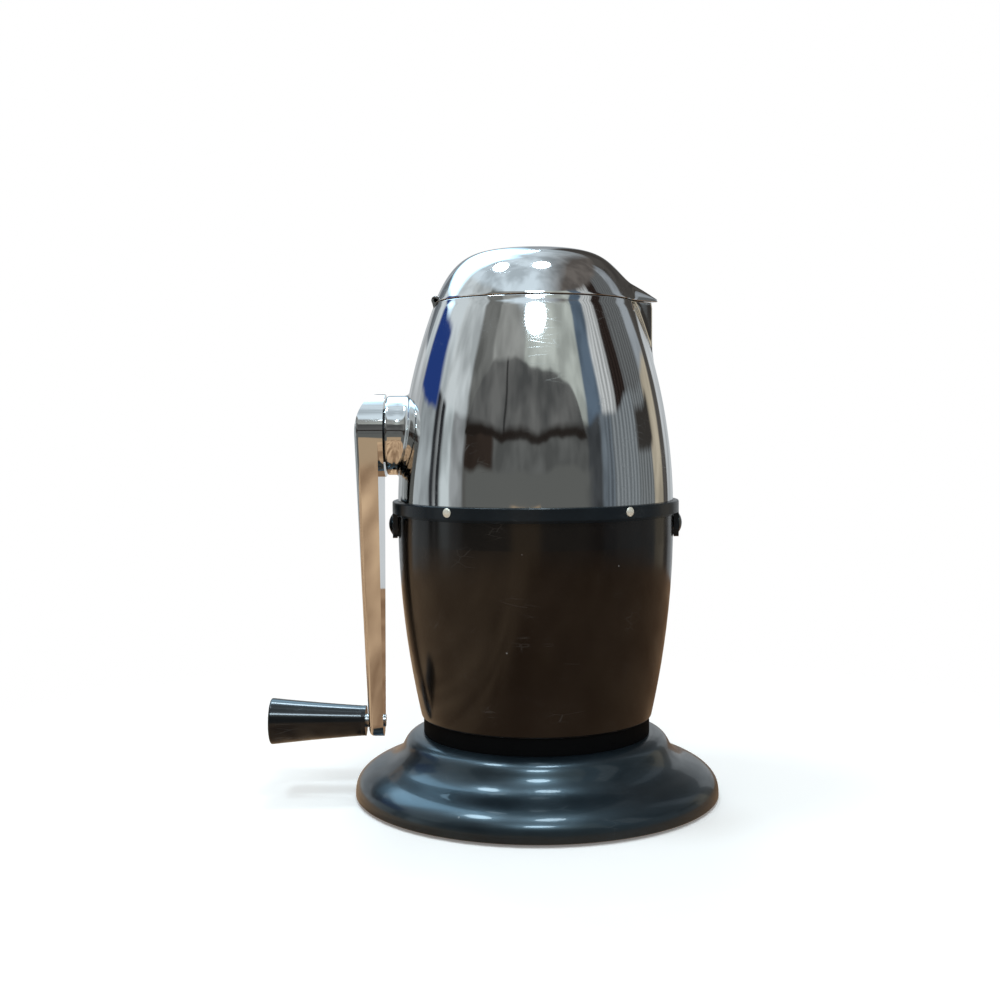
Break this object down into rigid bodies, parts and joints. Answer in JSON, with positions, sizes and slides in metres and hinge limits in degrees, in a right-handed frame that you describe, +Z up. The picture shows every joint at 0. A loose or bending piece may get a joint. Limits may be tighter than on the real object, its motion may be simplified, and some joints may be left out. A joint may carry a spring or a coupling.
{
  "type": "hand-crank ice crusher",
  "caption": "Table-top ice crusher: black ogee base, dark catching cup, tapered chrome head with a beaked hinged lid, toothed rotor inside and a side crank with a black grip.",
  "frame": {"origin": "on the table under the axis of the cup, at the centre of the rubber foot ring", "axes": "+Z up, +X towards the beak of the lid, crank on the -X side"},
  "size_m": [0.2046, 0.1656, 0.2465],
  "materials": {
    "black_plastic": "gloss black moulding",
    "cup_plastic": "gloss brown-black moulding",
    "grip_plastic": "semi-gloss black moulding",
    "inner_plastic": "matt black moulding",
    "rubber": "matt black rubber",
    "chrome": "bright chrome plate",
    "steel": "brushed stainless steel",
    "rivet_metal": "pale plated brass",
    "bronze": "sintered bronze"
  },
  "bodies": {
    "stand": {"base": "black_plastic", "foot_ring": "rubber", "base_screws": "steel", "cup_gasket": "rubber", "cup": "cup_plastic", "cup_pegs": "black_plastic"},
    "head": {"collar": "black_plastic", "housing": "chrome", "collar_rivets": "rivet_metal", "chassis": "inner_plastic", "chassis_screws": "steel", "hopper_liner": "inner_plastic", "front_comb": "steel", "rear_comb": "steel", "comb_screws": "steel", "crank_bush": "bronze", "far_bush": "bronze", "hinge_pin": "steel"},
    "crank": {"rotor_shaft": "steel", "breaker_disc_1": "steel", "breaker_disc_2": "steel", "breaker_disc_3": "steel", "breaker_disc_4": "steel", "breaker_disc_5": "steel", "breaker_disc_6": "steel", "rotor_spacers": "steel", "shaft_clip": "steel", "thrust_washer": "inner_plastic", "crank_arm": "chrome", "crank_screw": "steel", "handle_stud": "steel"},
    "handle": {"handle_grip": "grip_plastic"},
    "lid": {"lid": "chrome"}
  },
  "joints": [
    {"name": "head_lift", "type": "slide", "parent": "stand", "child": "head", "axis": [0, 0, 1], "range_m": [0, 0.12]},
    {"name": "crank_turn", "type": "hinge", "parent": "head", "child": "crank", "pos_m": [-0.0676, 0, 0.164], "axis": [-1, 0, 0], "continuous": true},
    {"name": "grip_spin", "type": "hinge", "parent": "crank", "child": "handle", "pos_m": [-0.0676, 0, 0.0332], "axis": [-1, 0, 0], "continuous": true},
    {"name": "lid_open", "type": "hinge", "parent": "head", "child": "lid", "pos_m": [-0.0441, 0, 0.224], "axis": [0, -1, 0], "range_deg": [0, 85]}
  ]
}
